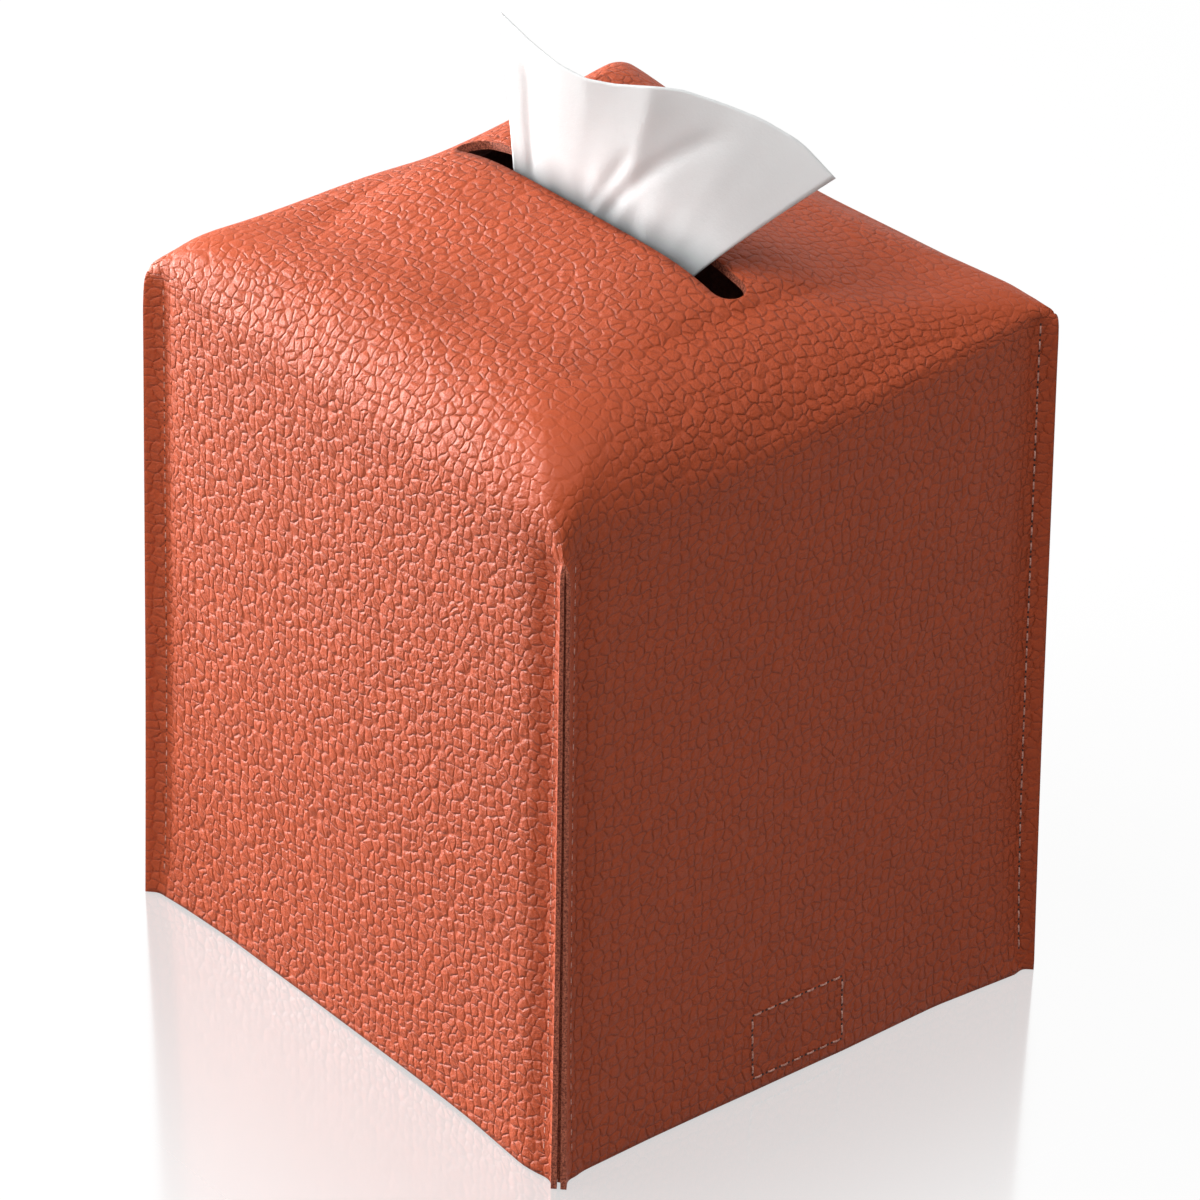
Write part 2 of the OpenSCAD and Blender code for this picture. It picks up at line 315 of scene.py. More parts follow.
def pebbledLeather(name, look):
    # height = (domes 1 - r^2 about jittered points + shoulders 1 - (1 - e)^2 from the cells' edges)
    # * openness + wrinkles + pores, and all of it is lower where the skin is taut
    made, tree, shader = newMaterial(name, {"Specular IOR Level": look["specular"]})
    shares = look["shares"]
    place = laidPlace(tree)
    bent = nudged(tree, place, nudged(tree, place, place, *look["drift"]), *look["curl"])
    across, down = (shape / look["cellSize"] for shape in look["cellShape"])
    drawn = addNode(tree, "Mapping", {0: bent, "Scale": (across, down, 1)})[0]
    edge = cellPattern(tree, drawn, 1.0, look["jitter"], "DISTANCE_TO_EDGE")
    toMiddle = cellPattern(tree, drawn, 1.0, look["jitter"], "F1")
    small = cellPattern(tree, drawn, look["wrinkles"], 1.0, "DISTANCE_TO_EDGE")
    patches = noise(tree, place, 0.35, 2.0)
    tone = noise(tree, place, 0.10, 3.0)
    pores = noise(tree, place, *look["pores"])
    taut = addNode(tree, "Attribute", {}, attribute_name="taut")["Fac"]
    slack = maths(tree, "MULTIPLY_ADD", taut, -look["tautLoss"], 1.0)
    openness = maths(tree, "MULTIPLY", remap(tree, patches, 0.34, 0.58, 0.65, 1.0), slack)
    near = maths(tree, "MINIMUM", maths(tree, "DIVIDE", edge, look["shoulder"]), 1.0)
    short = maths(tree, "SUBTRACT", 1.0, near)
    shoulder = maths(tree, "SUBTRACT", 1.0, maths(tree, "MULTIPLY", short, short))
    valley = maths(tree, "MINIMUM", shoulder, remap(tree, toMiddle, *look["pitStart"], 1.0, 0.0))
    dome = maths(tree, "SUBTRACT", 1.0, maths(tree, "MULTIPLY", toMiddle, toMiddle))
    pebble = maths(tree, "MULTIPLY", dome, shares["dome"])
    pebble = maths(tree, "MULTIPLY_ADD", valley, shares["shoulder"], pebble)
    height = maths(tree, "MULTIPLY", pebble, openness)
    for grain, share in ((remap(tree, small, 0.0, 0.22), shares["wrinkle"]), (pores, shares["pore"])):
        height = maths(tree, "MULTIPLY_ADD", maths(tree, "MULTIPLY", grain, slack), share, height)
    # painted shade: the colour is darkened in the creases between pebbles, where shade falls
    paintedCreaseShade = maths(tree, "SUBTRACT", 1.0, remap(tree, edge, 0.0, look["creaseShadeWidth"]))
    paintedCreaseShade = maths(tree, "MULTIPLY", paintedCreaseShade, openness)
    deepColour = [channel * look["deepTone"] for channel in look["colour"][:3]] + [1]
    plain, deep = (
        mixColour(tree, maths(tree, "MULTIPLY", paintedCreaseShade, share), colour, look["creaseShadeColour"])
        for share, colour in zip(look["creaseShadeShares"], (look["colour"], deepColour))
    )
    colour = mixColour(tree, remap(tree, tone, 0.35, 0.7, 0.0, 0.5), plain, deep)
    dress(tree, shader, colour, height, look["depth"])
    smooth, rough = (look["roughness"] + spread for spread in look["roughnessSpread"])
    tree.links.new(remap(tree, pores, 0.3, 0.7, smooth, rough), shader.inputs["Roughness"])
    return made


# Plain finishes: scale, detail and roughness of their clouds, and between which values dark turns to light
fibrous = {"roughness": 0.8, "clouds": (2.4, 5.0, 0.7), "tones": (0.38, 0.62), "relief": 1.0}
napped = {"roughness": 0.85, "clouds": (1.1, 6.0, 0.75), "tones": (0.35, 0.65), "relief": 0.8, "tufts": 0.6}
spun = {"roughness": 0.62, "clouds": (3.2, 3.0, 0.5), "tones": (0.36, 0.6), "relief": 0.7, "sheen": 0.25}


def plainFinish(name, look, colour, dark, depth):
    # height and colour follow the same clouds; a nap adds tufts * the distance to scattered points
    settings = {"Roughness": look["roughness"], "Sheen Weight": look.get("sheen", 0.0)}
    made, tree, shader = newMaterial(name, settings)
    place = inMillimetres(tree, addNode(tree, "TexCoord", {})["Object"])
    height = grain = noise(tree, place, *look["clouds"])
    if "tufts" in look:
        tufts = addNode(tree, "TexVoronoi", {"Vector": place, "Scale": 1.6})["Distance"]
        height = maths(tree, "MULTIPLY_ADD", tufts, look["tufts"], grain)
    mixed = mixColour(tree, remap(tree, grain, *look["tones"]), dark, colour)
    dress(tree, shader, mixed, height, depth, look["relief"])
    return made


def tissuePaper(name, look):
    # height = fine fibres + wave share * soft waves; near the lip the colour is painted grey, a painted
    # shade where the sheet passes the lip
    made, tree, shader = newMaterial(name, look["shader"])
    place = laidPlace(tree)
    upSheet = addNode(tree, "SeparateXYZ", {0: place})[1]
    # painted shade: the paper's colour goes from grey at the lip to white higher up
    mixed = mixColour(tree, remap(tree, upSheet, *look["paintedLipShadeFrom"]), look["paintedLipShade"], look["colour"])
    waves, fibres = noise(tree, place, *look["waves"]), noise(tree, place, *look["fibres"])
    height = maths(tree, "MULTIPLY_ADD", waves, look["waveShare"], fibres)
    dress(tree, shader, mixed, height, look["depth"], look["relief"])
    return made


coverLeather = pebbledLeather("coverLeather", leatherLook)
rawEdge = plainFinish("rawEdge", fibrous, (0.62, 0.17, 0.09, 1), (0.16, 0.022, 0.009, 1), 0.3)
fleshSide = plainFinish("fleshSide", napped, (0.30, 0.06, 0.03, 1), (0.17, 0.03, 0.015, 1), 0.12)
liningCloth = plainFinish("liningCloth", napped, (0.20, 0.045, 0.025, 1), (0.10, 0.02, 0.012, 1), 0.12)
threadFinish = plainFinish("threadFinish", spun, (0.78, 0.44, 0.36, 1), (0.46, 0.17, 0.11, 1), 0.08)
# painted shade: near-black colour for the needle holes' cups
holeShade = plainFinish("holeShade", fibrous, (0.05, 0.010, 0.005, 1), (0.02, 0.004, 0.002, 1), 0.05)
print("finishes mixed")

# Cover: one skin over the top, the folds and the four walls, cut open along the corners below the seam tops.
# Values for four sides are in the order front, right, back, left, and those for four corners in the order
# left, front, right, back of the picture.
cover = {
    "halfWidth": 65.0,
    "halfDepth": 61.0,
    "topHeight": 157.5,
    "leather": 1.3,
    "lining": 0.38,
    "liningGap": 0.03,
    "slotHalf": 42.0,
    "slotRadius": 3.7,
    "foldRadius": 20.0,
    "foldCorner": (11.7, 11.7, 11.7, 3.2),  # plan radius of the corners where the top starts to turn down
    "wallCorner": 3.5,  # and at the seam tops
    "cornerSquare": (2.8, 2.5, 4.9, 2.2),  # exponent of the fold's rounding; 2 is a circle
    "cornerLift": (-4.4, -0.8, -3.7, 7.3),  # height of the corners over the plain ones
    "edgeSag": (1.3, 1.3, 1.9, 3.5),  # how far the sides' middles sag instead
    "cornerReach": 0.16,  # roundness of the lift's peak, as a share of half a side
    "domeHeight": 7.4,
    "domeHalf": (44.0, 29.0),
    "ripple": 0.25,
    "wave": 0.55,  # height and lengths of the walls' slow waves
    "waveLengths": (27, 61, 33),
    "seamTops": (143.5, 135.5, 149.5, 147.0),
    "seamHeight": 140.0,  # what changes along a seam does so over this height
    "finLead": 9.0,
    "finHalf": 1.7,
    "finReach": 1.7,
    "finFillet": 3.0,
    "finDepth": 5.0,  # presses and flares die out at this distance from the raw edge
    "finPress": 0.7,  # how much of a side's thickness is pressed out of the seam at its top
    "pressAtHem": 0.22,  # and the share of it that is left at the hem
    "rootSink": 0.8,
    "rootAt": (4.6, 3.4),  # the sunk root: distance from the raw edge and width
    "noseRise": 6.5,  # the seam's ridge grows out of the corner over this height, up to a share of itself
    "noseShare": 0.7,
    "noseFall": 6.0,  # and reaches its full size over this one
    "mouth": 2.6,  # and its two raw edges part over this height
    "mouthDepth": 3.0,
    "cornerFlare": 1.2,
    "hemFlare": (1.0, 0.2),  # of the front corner and of the others, near the hem
    "frontLean": (0.75, 0.9),  # the front seam leans over to the right side
    "hemOut": (
        (0.9, -0.3, -0.2, 0.3, 0.5, 1.6),
        (1.6, 1.5, 1.8, 1.7, 0.8, 2.0),
        (0.8, 0.6, 0.4, 0.4, 0.6, 0.8),
        (0.8, 0.6, 0.4, 0.4, 0.6, 0.8),
    ),
    "hemFade": 26.0,
    "hemRise": (0.25, 0.1, 0.25, 0.25),
    "cutArc": 26.9,  # how far from the start of the fold the cut row lies, before it is shifted
    "topRows": 27,
    "foldRows": 20,
    "wallRows": 52,
    "rowsByCut": (-2.6, -1.6, -0.8, -0.3, 0, 0.15, 0.4, 0.8, 1.4, 2.2, 3.2, 4.6, 6.4),
    "columnsFromTip": (
        0, 0.7, 1.4, 2.1, 2.8, 3.4, 4.0, 4.7, 5.5, 6.5, 7.8, 9.4, 11.4, 13.8, 16.6, 19.8, 23.4,
    ),
    "middleColumns": 14,
    "frontCorner": 1,
}
alongSide = np.array([[1, 0], [0, 1], [-1, 0], [0, -1]], float)
outOfSide = np.array([[0, -1], [1, 0], [0, 1], [-1, 0]], float)


def finProfile(c):
    # half of a sewn corner in plan, from the wall to the tip: straight, an arc of an eighth of a turn
    # outwards, straight along the diagonal
    root, half = -2 * c.finHalf / math.sqrt(2), math.sqrt(0.5)
    run = c.finFillet * math.tan(math.pi / 8)
    turn = np.linspace(0, math.pi / 4, 9)
    arc = np.column_stack([root - run + c.finFillet * np.sin(turn), c.finFillet * (1 - np.cos(turn))])
    tip = [[(c.finReach - c.finHalf) * half, (c.finReach + c.finHalf) * half]]
    line = np.concatenate([[[-c.finLead, 0.0]], arc, tip])
    length = lengthAlong(line)
    return length - length[-1], line


def roundedRing(w, along, out, radius):
    # walk w from the middle of a side of a rounded rectangle: straight, then round the corner's arc
    turn = np.clip((w - (along - radius)) / radius, 0, math.pi / 4)
    ahead = np.where(turn > 0, along - radius + radius * np.sin(turn), w)
    return ahead, out - radius + radius * np.cos(turn)


def evenMap(laid, points, quads, fixed, rounds=500, haste=1.6):
    # lays the skin out with as little stretch as it allows: again and again each end of an edge moves so
    # that the edge nears its real length
    pairs = np.concatenate([quads[:, pick] for pick in ([0, 1], [1, 2], [0, 2], [1, 3])])
    pairs = np.unique(np.sort(pairs, axis=1), axis=0)
    real = np.linalg.norm(points[pairs[:, 0]] - points[pairs[:, 1]], axis=1)
    uses = np.bincount(pairs.ravel(), minlength=len(points))[:, None]
    laid, held = laid.copy(), laid[fixed].copy()
    for _ in range(rounds):
        gap = laid[pairs[:, 1]] - laid[pairs[:, 0]]
        length = np.linalg.norm(gap, axis=1)
        step = gap * (0.5 * (length - real) / np.maximum(length, 1e-6))[:, None]
        pulls = [[np.bincount(pairs[:, end], step[:, k], len(points)) for k in range(2)] for end in range(2)]
        laid += haste * (np.column_stack(pulls[0]) - np.column_stack(pulls[1])) / uses
        laid[fixed] = held
    return laid


def coverRows(c):
    # rows from the slot to the hem: a share of the way to the fold, then a length from there, and both
    # close up where the corners are cut
    total = c.foldRadius * math.pi / 2 + (c.topHeight - c.foldRadius)
    top = np.linspace(0, 1, c.topRows) ** 0.85
    near = c.cutArc + np.array(c.rowsByCut)
    fold = (near[0] - 1.2) * np.linspace(0, 1, c.foldRows + 1)[1:] ** 1.45
    wall = np.linspace(near[-1] + 2, total - 2.4, c.wallRows)
    arcs = np.concatenate([fold, near, wall, [total - 1, total]])
    arc = np.concatenate([np.zeros(len(top)), arcs])[:, None]
    rows = SimpleNamespace(arc=arc, spread=np.concatenate([top, np.ones(len(arcs))])[:, None])
    rows.fromCut = arc - c.cutArc
    rows.foldStart = len(top) - 1
    rows.cut = len(top) + len(fold) + c.rowsByCut.index(0)
    # a seam's ridge grows above the cut and its two edges part below it
    above = c.noseShare * smoothStep(1 + rows.fromCut / c.noseRise)
    below = c.noseShare + (1 - c.noseShare) * quarterRound(rows.fromCut / c.noseFall)
    rows.nose = np.where(rows.fromCut < 0, above, below)
    rows.mouth = quarterRound(rows.fromCut / c.mouth)
    return rows


def coverSide(c, block):
    # columns from one raw edge of a side to the other, and its corners' values blended along the way; share
    # goes from -1 to 1 and w is its size, and tipGap is the distance to the nearer raw edge
    side = SimpleNamespace(block=block, halfLength=c.halfWidth, halfOut=c.halfDepth)
    if block % 2 == 1:
        side.halfLength, side.halfOut = side.halfOut, side.halfLength
    side.tipWalk, side.tipLine = finProfile(c)
    reach = side.halfLength - c.finLead - side.tipWalk[0]
    tips = np.array(c.columnsFromTip)
    half = reach - np.concatenate([tips, np.linspace(tips[-1], reach, c.middleColumns)[1:]])
    side.walk = np.concatenate([-half[:-1], half[::-1]])
    share = side.walk / reach
    side.reach, side.share = reach, share
    side.sign, side.w = np.sign(share)[None, :], np.abs(share)[None, :]
    side.tipGap = (1 - side.w) * reach
    side.byFront = ((block + (share[None, :] > 0)) % 4) == c.frontCorner
    for key in ("seamTops", "cornerSquare", "cornerLift", "foldCorner"):
        start, end = (getattr(c, key)[corner % 4] for corner in (block, block + 1))
        setattr(side, key, start + (end - start) * smoothStep((share + 1) / 2))
    return side


def foldSide(c, side, rows):
    # inset = fold radius (1 - sin^p turn) and height = fold radius cos^p turn, then straight down; in plan
    # a rounded ring, which turns into the seam's ridge at its ends; a is along the side and d out of it
    fold = c.foldRadius
    straight = c.topHeight - fold
    power = 2 / (2 + (side.cornerSquare - 2) * np.abs(side.share) ** 3)[None, :]
    cut = fold * np.arccos(np.clip((side.seamTops - straight) / fold, 0, 1) ** (1 / power[0]))
    shift = cut + np.maximum(straight - side.seamTops, 0) - c.cutArc
    arc = rows.arc + shift[None, :] * np.exp(-((rows.fromCut / 10) ** 2)) * smoothStep(rows.arc / 8)
    turn = np.clip(arc / fold, 0, math.pi / 2)
    inset = fold * (1 - np.sin(turn) ** power)
    radius = c.wallCorner + (side.foldCorner - c.wallCorner) * np.cos(turn) ** 1.7
    along, out, w = side.halfLength, side.halfOut, side.w
    ringLength = along - inset - radius + radius * math.pi / 4
    a, d = roundedRing(w * ringLength, along - inset, out - inset, radius)
    # the ring turns into the fin: first along the diagonal as a closed ridge, then its two edges part
    stations = np.concatenate([[0], side.reach + side.tipWalk])
    finA = np.interp(w * side.reach, stations, np.concatenate([[0], side.tipLine[:, 0] + along])) - along
    finD = np.interp(w * side.reach, stations, np.concatenate([[0], side.tipLine[:, 1]]))
    parted = rows.mouth + (1 - rows.mouth) * smoothStep(side.tipGap / c.mouthDepth)
    part = np.where(side.tipGap < c.mouthDepth, parted, 1.0)
    ahead, off = (finA + finD) / 2, (finD - finA) / 2 * part
    a = a + (along + ahead - off - a) * rows.nose
    d = d + (out + ahead + off - d) * rows.nose
    z = straight + fold * np.cos(turn) ** power - np.maximum(arc - fold * math.pi / 2, 0)
    return a, d, z, arc, turn


def pressedShare(c, z):
    # seams are pressed fully at their tops and less and less towards the hem
    return c.pressAtHem + (1 - c.pressAtHem) * np.clip(z / c.seamHeight, 0, 1) ** 0.7


def easeSide(c, side, rows, a, d, z, arc):
    # adds what soft leather does to a true wall, each as an offset along the side or out of it
    block, tipGap, diagonal = side.block, side.tipGap, math.sqrt(2)
    byTip, low = smoothStep(1 - tipGap / c.finDepth), np.clip(z, 0, c.seamHeight)
    started = smoothStep(rows.arc / 12)
    # walls breathe a little between their corners and stay true near the hem
    calm = smoothStep(tipGap / 22) * smoothStep((z - 24) / 50) * smoothStep(np.maximum(arc, 0) / 18)
    along, slant, down = c.waveLengths
    breath = np.sin(side.walk[None, :] / along + 1.9 * block + z / slant) * np.sin(z / down + block) + 0.7
    d = d + c.wave * calm * breath
    # the seam pulls its root in, less at the hem, and is pressed thin at the top
    rootGap, rootWidth = c.rootAt
    root = np.exp(-(((tipGap - rootGap) / rootWidth) ** 2)) * rows.nose ** 2
    root = root * (1 - 0.85 * np.exp(-np.maximum(z, 0) / 14))
    press = c.finPress * byTip * pressedShare(c, z) * rows.mouth / diagonal
    a = a - 0.5 * c.rootSink * root + press
    d = d - c.rootSink * root - press
    # corners stand out towards the hem, and the front seam most
    cornerOut = byTip * smoothStep(1 - z / 60) * np.where(side.byFront, *c.hemFlare) / diagonal
    cornerOut = cornerOut + c.cornerFlare * side.w ** 3 * (1 - 2 * low / c.seamHeight) * started / diagonal
    a, d = a + cornerOut, d + cornerOut
    bulge = np.interp(side.share, np.linspace(-1, 1, 6), c.hemOut[block])[None, :]
    d = d + bulge * smoothStep((tipGap - 1.2) / 3.8) * np.exp(-np.maximum(z, 0) / c.hemFade) * started
    flat = (side.sign * a)[..., None] * alongSide[block] + d[..., None] * outOfSide[block]
    lean = smoothStep(1 - tipGap / 9) * rows.nose * side.byFront * (1.6 - 0.6 * low / c.seamHeight)
    return flat + lean[..., None] * np.array(c.frontLean)


def crownTop(c, side, rows, flat, z, turn):
    # top: straight lines from the slot's edge to the fold, with height added as a dome
    # 1 / (1 + x^6) / (1 + y^3.5), the corners' lift, the sides' sag and a slow ripple
    inner = c.slotHalf - c.slotRadius
    middle = np.stack([np.clip(flat[..., 0], -inner, inner), 0 * z], -1)
    lip = middle + unit(flat - middle) * c.slotRadius
    spread = rows.spread
    flat = lip + (flat - lip) * spread[..., None]
    x, y = flat[..., 0], flat[..., 1]
    fade = np.where(rows.arc > 0, np.cos(turn) ** 1.5, 1.0)
    dome = 1 / (1 + np.abs(x / c.domeHalf[0]) ** 6) / (1 + np.abs(y / c.domeHalf[1]) ** 3.5)
    soft = c.cornerReach
    nearCorner = 1 - (np.sqrt((1 - side.w) ** 2 + soft ** 2) - soft) / (math.hypot(1, soft) - soft)
    ramp = nearCorner ** 2 * 1.3 / (nearCorner + 0.3)
    settle = side.cornerLift[None, :] * ramp - c.edgeSag[side.block] * (1 - ramp)
    settle = settle * np.where(rows.arc > 0, fade, smoothStep(spread))
    ripple = c.ripple * np.sin(x / 11 + 0.6) * np.sin(y / 14 + 1.1) * spread * (1 - spread * 0.3) * fade
    z = z + c.domeHeight * dome * fade + settle + ripple
    # the hem lifts off the table here and there
    waves = 1 + np.sin(side.walk[None, :] / 14 + 2.1 * side.block)
    lifted = c.hemRise[side.block] * waves * np.exp(-np.maximum(z, 0) / 5)
    z = z + lifted * smoothStep(side.tipGap / 12)
    return np.concatenate([flat, z[..., None]], -1), lip


def cutMap(c, side, rows, points, lip):
    # map of the leather as it was cut: the top as it lies, the sides laid out flat round it
    block, start = side.block, rows.foldStart
    along, out = side.halfLength - c.foldRadius, side.halfOut - c.foldRadius
    bigger = np.clip(rows.arc, 0, c.cutArc) * np.ones_like(side.w)
    radius = side.foldCorner + bigger
    reach = along + bigger - radius + radius * math.pi / 4
    mapA, mapD = roundedRing(side.w * reach, along + bigger, out + bigger, radius)
    below = np.maximum(rows.fromCut, 0)
    relax = smoothStep(below / 35)
    mapA = mapA + (side.w * side.reach - mapA) * relax
    mapD = mapD + below + (out + rows.arc - mapD - below) * relax
    laid = (side.sign * mapA)[..., None] * alongSide[block] + mapD[..., None] * outOfSide[block]
    # the slope of top and fold makes each column longer than its plan: that much is laid straight on
    flat = points[..., :2]
    down = np.linalg.norm(np.diff(points, axis=0), axis=-1)
    length = np.concatenate([np.zeros_like(down[:1]), np.cumsum(down, axis=0)])
    plan = np.linalg.norm(flat - lip, axis=-1)
    extra = length - np.where(rows.arc > 0, plan[start] + rows.arc, plan)
    straightOn = (flat[start] - lip[start]) / plan[start][:, None]
    return np.where(rows.arc[..., None] > 0, laid, flat) + extra[..., None] * straightOn


def tautness(c, side, rows, turn):
    # drawn tight where the skin turns round a corner and down at once, and along the seams
    atCorner = smoothStep((side.w - 0.58) / 0.42) * smoothStep(-rows.fromCut / 6)
    atCorner = atCorner * np.where(rows.fromCut < 0, np.sin(2 * turn) ** 0.7, 0.0)
    return np.maximum(atCorner, 0.8 * smoothStep(1 - side.tipGap / c.finDepth) * rows.nose)


def coverSkin(c):
    # the four sides, joined above the cut, with each point's map, tautness, normal and thickness
    rows = coverRows(c)
    points, maps, taut = [], [], []
    for block in range(4):
        side = coverSide(c, block)
        a, d, z, arc, turn = foldSide(c, side, rows)
        flat = easeSide(c, side, rows, a, d, z, arc)
        shaped, lip = crownTop(c, side, rows, flat, z, turn)
        points.append(shaped)
        maps.append(cutMap(c, side, rows, shaped, lip))
        taut.append(tautness(c, side, rows, turn))
    points, maps, taut = np.stack(points), np.stack(maps), np.stack(taut)
    cut, columns = rows.cut, points.shape[2]
    ids = np.arange(points[..., 0].size).reshape(points.shape[:3])
    for block in range(4):
        ids[block, :cut + 1, -1] = ids[(block + 1) % 4, :cut + 1, 0]
    used, packed = np.unique(ids, return_inverse=True)
    skin = SimpleNamespace(points=points.reshape(-1, 3)[used], taut=taut.reshape(-1)[used], cut=cut)
    skin.ids = packed.reshape(ids.shape)
    skin.quads = np.concatenate([gridQuads(part) for part in skin.ids])
    around = np.unique(skin.ids[:, :3])  # the slot's edge stays where it is on the map
    skin.map = evenMap(maps.reshape(-1, 2)[used], skin.points, skin.quads, around)
    # near a raw edge the thickness is taken straight across the seam
    order = np.arange(columns)
    close = smoothStep(1 - np.minimum(order, order[::-1]) / 7)
    ends = np.where(order > columns // 2, -1.0, 1.0)
    lean = np.zeros(points.shape)
    for block in range(4):
        across = ends[:, None] * alongSide[block] + outOfSide[block]
        lean[block, cut + 1:, :, :2] = (across * close[:, None] * 3)[None]
    skin.normals = unit(sheetNormals(skin.points, skin.quads) + lean.reshape(-1, 3)[used])
    # the layers thin out where a seam starts, so that its two raw edges grow from one point
    pressed = 1 - c.finPress / c.finHalf * pressedShare(c, points[0, cut:, 0, 2])
    left = np.maximum(rows.mouth[cut:, 0], 0.12) * pressed
    thin = np.ones(points.shape[:3])
    thin[:, cut:, :] = 1 - (1 - left)[None, :, None] * close[None, None, :]
    skin.thin = thin.reshape(-1)[used]
    return skin


skin = coverSkin(SimpleNamespace(**cover))
faces = thicken(skin.points, skin.quads, 0, cover["leather"] * skin.thin, skin.normals)
leatherMaterials = [coverLeather, fleshSide, rawEdge]
leatherMap = np.tile(skin.map, (2, 1))
leather = addPiece("leatherSkin", *faces[:2], leatherMaterials, faces[2], (2,), leatherMap)
taut = leather.data.attributes.new("taut", "FLOAT", "POINT")
taut.data.foreach_set("value", np.tile(skin.taut, 2).astype(np.float32))
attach(leather, "cover")
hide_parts("outer_leather")
print("leather skin", len(leather.data.polygons), "faces")

# Lining: behind the leather, and below the cut it stands back from the raw edges
aboveCut = [gridQuads(part[:skin.cut + 2]) for part in skin.ids]
belowCut = [gridQuads(part[skin.cut + 1:-1, 1:-1]) for part in skin.ids]
kept, packed = np.unique(np.concatenate(aboveCut + belowCut), return_inverse=True)
layer = cover["leather"] + cover["liningGap"]
behind = layer + cover["lining"] - cover["liningGap"]
thin = skin.thin[kept]
faces = thicken(skin.points[kept], packed.reshape(-1, 4), layer * thin, behind * thin, skin.normals[kept])
lining = addPiece("clothLining", *faces[:2], [liningCloth, liningCloth, rawEdge], faces[2], (2,))
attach(lining, "cover")
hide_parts("inner_lining")
print("lining", len(lining.data.polygons), "faces")

# Stitches
stitch = {
    "pitch": 3.4,
    "length": 2.2,
    "width": 0.48,
    "flatness": 0.34,  # half the height, as a share of the width
    "rise": 0.14,
    "sink": 0.34,
    "fromTip": 3.2,
    "along": (-1, -0.82, -0.45, 0, 0.45, 0.82, 1),
    "fullness": (0.7, 0.92, 1, 0.96, 1, 0.92, 0.7),
    "sides": 6,
    "hole": 0.31,
    "holeSides": 8,
    "holeAt": 0.53,  # from the stitch's middle, as a share of its length
    "holeSquash": 0.8,
    "holeRim": 0.06,
    "holeDepth": 0.12,
    "holeTaper": 0.9,
}
openStitch = {**stitch, "width": 0.36, "hole": 0.27}
# the front wall's two seams are sewn tight, down in the crease
tightStitch = {**stitch, "fromTip": 3.9, "rise": -0.02, "width": 0.32, "hole": 0.14}


def sewRow(line, normals, look):
    # stitches at even steps along a line on a surface: for each its centre, its run and its up direction
    length = lengthAlong(line)
    count = int((length[-1] - look["length"]) // look["pitch"]) + 1
    at = (length[-1] - (count - 1) * look["pitch"]) / 2 + np.arange(count) * look["pitch"]
    def taken(values, where):
        # the values on the line, read between its points
        return np.stack([np.interp(where, length, values[:, axis]) for axis in range(3)], -1)
    run = unit(taken(line, at + look["length"] / 2) - taken(line, at - look["length"] / 2))
    up = taken(normals, at)
    up -= run * (up * run).sum(1, keepdims=True)
    return taken(line, at), run, unit(up)


def stitchPiece(name, rows, look, node):
    # each stitch is a flat tube: centre + run * s length / 2 + up * (rise (1 - s^4) - sink s^4)
    centre, run, up = (np.concatenate(part) for part in zip(*rows))
    side = np.cross(run, up)
    s, full = np.array(look["along"]), np.array(look["fullness"])
    spin = np.arange(look["sides"]) * 2 * math.pi / look["sides"]
    arch = look["rise"] * (1 - s ** 4) - look["sink"] * s ** 4
    middle = centre[:, None] + crossed(run, s * look["length"] / 2) + crossed(up, arch)
    wide = np.outer(full, np.cos(spin) * look["width"] / 2)
    tall = np.outer(full, np.sin(spin) * look["width"] * look["flatness"])
    ring = middle[:, :, None] + crossed(side, wide) + crossed(up, tall)
    tubes, caps = tubeFaces(np.arange(ring[..., 0].size).reshape(ring.shape[:3]))
    # needle holes: shallow cups coloured near black as painted shade of the holes, a hair above the surface,
    # at both ends of each stitch
    around = np.arange(look["holeSides"]) * 2 * math.pi / look["holeSides"]
    ends = np.array([-1, 1]) * look["length"] * look["holeAt"]
    holeAt = (centre[:, None] + crossed(run, ends)).reshape(-1, 1, 3)
    holeRun, holeSide, holeUp = (np.repeat(v, 2, axis=0) for v in (run, side, up))
    disc = crossed(holeRun, np.cos(around) * look["hole"])
    disc = disc + crossed(holeSide, np.sin(around) * look["hole"] * look["holeSquash"])
    rim = holeAt + disc + holeUp[:, None] * look["holeRim"]
    bottom = holeAt + disc * look["holeTaper"] - holeUp[:, None] * look["holeDepth"]
    cups = np.stack([rim, bottom], 1)
    walls, lids = tubeFaces(np.arange(cups[..., 0].size).reshape(cups.shape[:3]) + ring[..., 0].size)
    points = np.concatenate([ring.reshape(-1, 3), cups.reshape(-1, 3)])
    parts = (tubes, caps, walls, lids)
    kind = np.repeat([0, 0, 1, 1], [len(part) for part in parts])
    faces = sum((part.tolist() for part in parts), [])
    piece = addPiece(name, points, faces, [threadFinish, holeShade], kind)
    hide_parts(node)
    return piece


def seamLine(block, atEnd, fromTip):
    # the line that stays a fixed way in from the raw edge, taken between two columns of the skin
    tips = cover["columnsFromTip"]
    column = int(np.searchsorted(tips, fromTip, side="right")) - 1
    share = (fromTip - tips[column]) / (tips[column + 1] - tips[column])
    pick = [-1 - column, -2 - column] if atEnd else [column, column + 1]
    ids = skin.ids[block, skin.cut + 4:-3][:, pick]  # clear of the seam's top and of the hem
    weights = np.array([1 - share, share])[None, :, None]
    return (skin.points[ids] * weights).sum(1), (skin.normals[ids] * weights).sum(1)


for corner, where in enumerate(("front_left", "front_right", "back_right", "back_left")):
    look = tightStitch if where.startswith("front") else openStitch
    edges = ((corner - 1) % 4, True), (corner, False)
    rows = [sewRow(*seamLine(*edge, look["fromTip"]), look) for edge in edges]
    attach(stitchPiece("seamThread_" + where, rows, look, "seam_stitches_" + where), "cover")
print("seams sewn")


